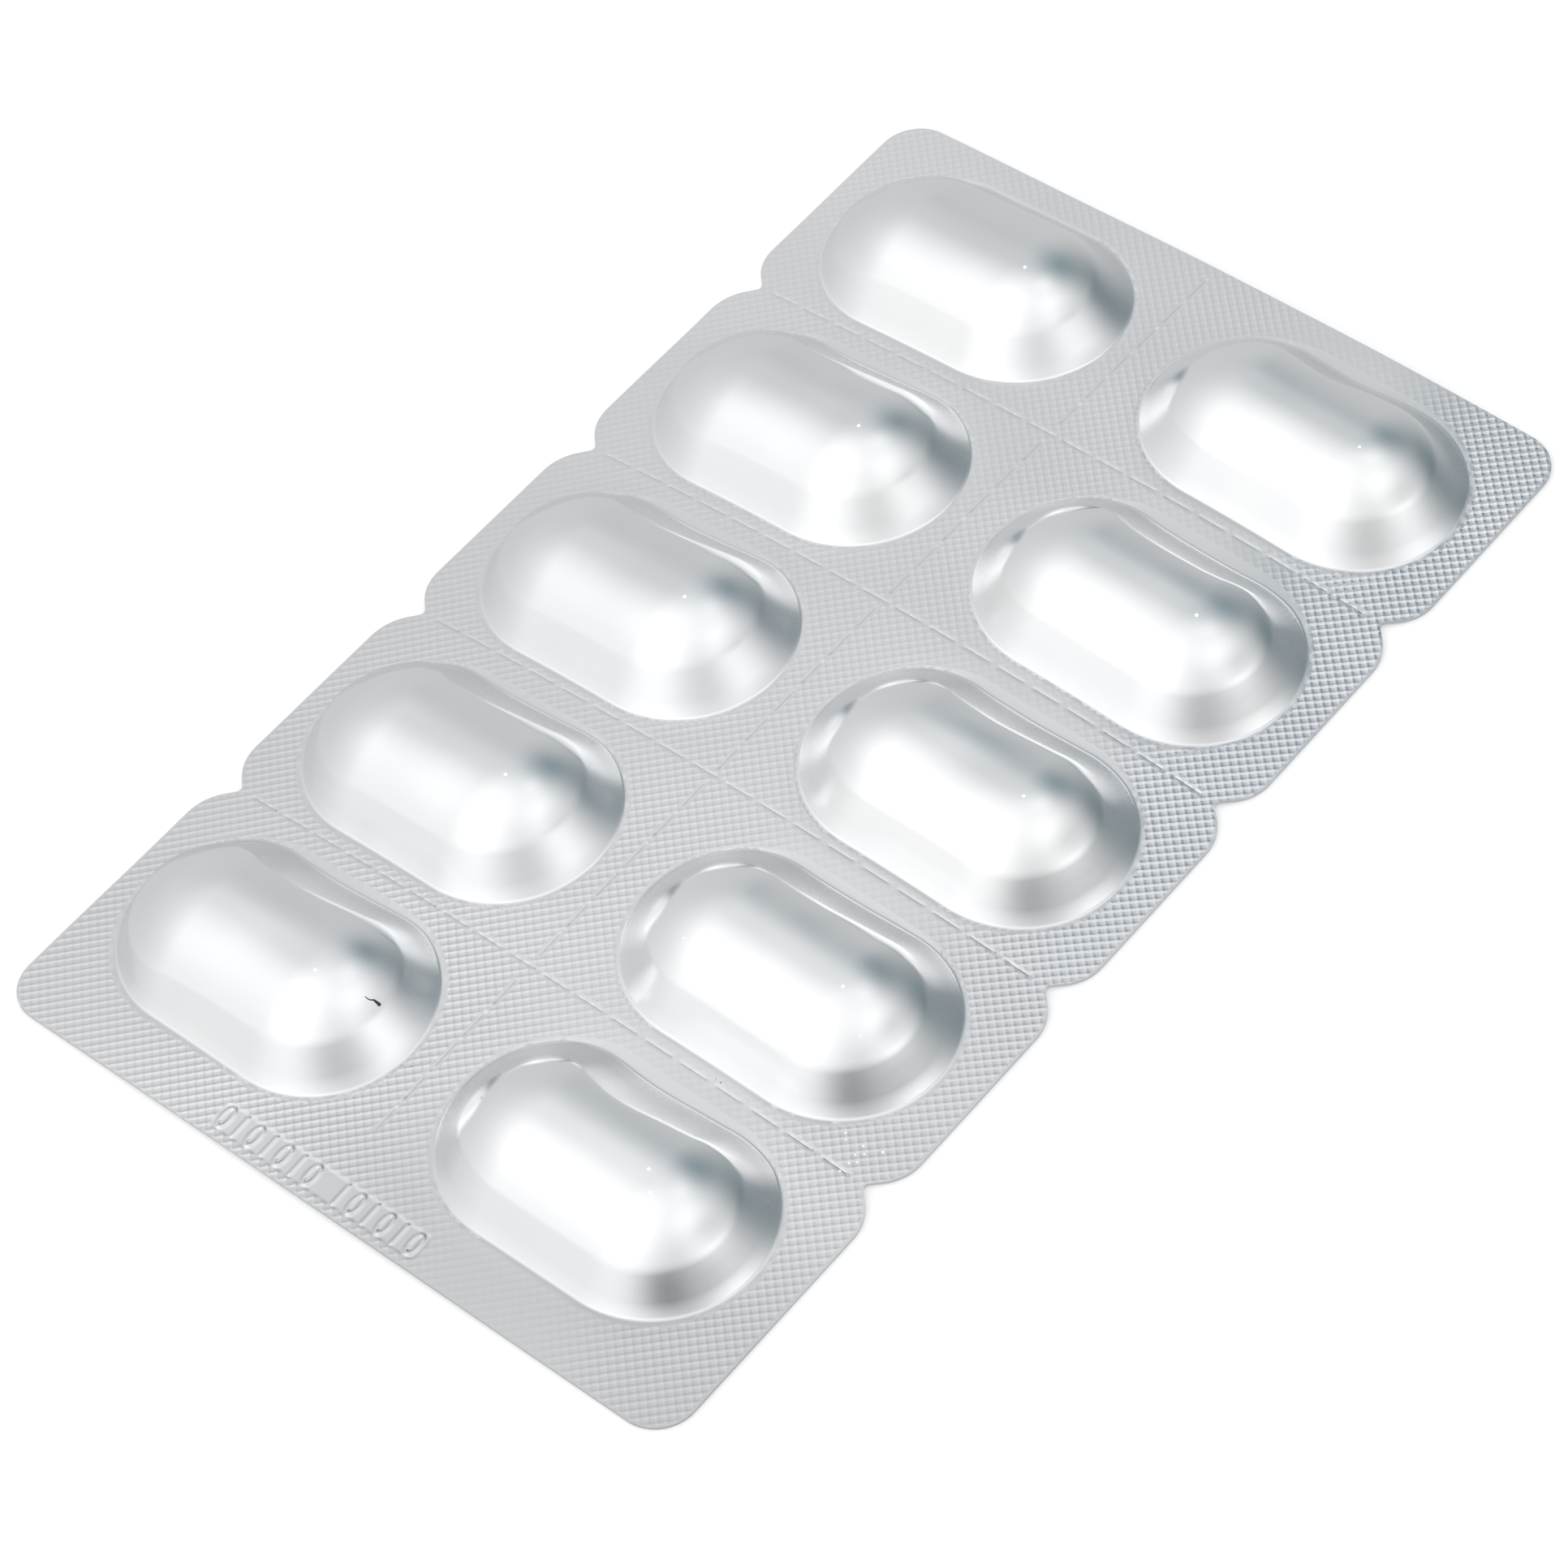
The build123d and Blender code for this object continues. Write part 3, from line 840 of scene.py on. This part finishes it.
def lobe(sky, az, el, sharp, amount, tint=(1, 1, 1)):
    """Adds a soft round patch of light, or takes one away, in a direction."""
    dot = wn.nodes.new("ShaderNodeVectorMath")
    dot.operation = "DOT_PRODUCT"
    dot.inputs[1].default_value = toward(az, el)
    wn.links.new(w_n.outputs["Vector"], dot.inputs[0])
    arg = wn.nodes.new("ShaderNodeMath")
    arg.operation = "MULTIPLY_ADD"
    arg.inputs[1].default_value = sharp
    arg.inputs[2].default_value = -sharp
    wn.links.new(dot.outputs["Value"], arg.inputs[0])
    bell = wn.nodes.new("ShaderNodeMath")
    bell.operation = "EXPONENT"
    wn.links.new(arg.outputs["Value"], bell.inputs[0])
    add = wn.nodes.new("ShaderNodeVectorMath")
    add.operation = "MULTIPLY_ADD"
    add.inputs[1].default_value = [amount * t for t in tint]
    wn.links.new(bell.outputs["Value"], add.inputs[0])
    if isinstance(sky, tuple):
        add.inputs[2].default_value = sky
    else:
        wn.links.new(sky, add.inputs[2])
    return add.outputs["Vector"]


sky = (0.600, 0.604, 0.608)
for patch in [(153, 46, 6.25, -0.202, (1.06, 1.0, 0.95)), (95, 42, 16.65, -0.320, (1.14, 0.97, 0.91)),
              (70, 7, 7.64, -0.328, (1.10, 0.98, 0.93)), (55, 7, 22.0, -0.110, (1.10, 0.98, 0.93)),
              (312, -5, 12.41, -1.244), (244, 59, 2.74, 2.000), (10, 20, 13.27, 1.643),
              (227, 45, 4.11, -0.948), (18, 51, 12.0, 0.700), (5, 0, 12.21, -1.806),
              (81, 65, 60.0, 0.180), (308, 69, 3.74, -0.740), (16, 36, 17.20, -1.000), (228, 8, 12.0, 0.040)]:
    sky = lobe(sky, *patch)
floor_of_sky = wn.nodes.new("ShaderNodeVectorMath")
floor_of_sky.operation = "MAXIMUM"
floor_of_sky.inputs[1].default_value = (0.05, 0.05, 0.05)
wn.links.new(sky, floor_of_sky.inputs[0])
wn.links.new(floor_of_sky.outputs["Vector"], w_bg.inputs["Color"])

# what the camera sees past the floor: a plain pale wall that throws no light
wall_mesh = bpy.data.meshes.new("backdrop")
ring = [(5.5 * math.cos(2 * math.pi * i / 48), 5.5 * math.sin(2 * math.pi * i / 48)) for i in range(48)]
wall_mesh.from_pydata([(x, y, -0.3) for x, y in ring] + [(x, y, 5.0) for x, y in ring], [],
                      [(i, (i + 1) % 48, 48 + (i + 1) % 48, 48 + i) for i in range(48)])
wall = bpy.data.objects.new("backdrop", wall_mesh)
scene.collection.objects.link(wall)
wall_mat = bpy.data.materials.new("backdrop")
wall_mat.use_nodes = True
wb = wall_mat.node_tree.nodes["Principled BSDF"]
wb.inputs["Base Color"].default_value = (0, 0, 0, 1)
wb.inputs["Specular IOR Level"].default_value = 0.0
wb.inputs["Emission Color"].default_value = (1, 1, 1, 1)
wb.inputs["Emission Strength"].default_value = 1.0
wall_mesh.materials.append(wall_mat)
wall.visible_glossy = wall.visible_diffuse = wall.visible_shadow = wall.visible_transmission = False

scene.view_settings.view_transform = "Standard"
scene.view_settings.look = "None"
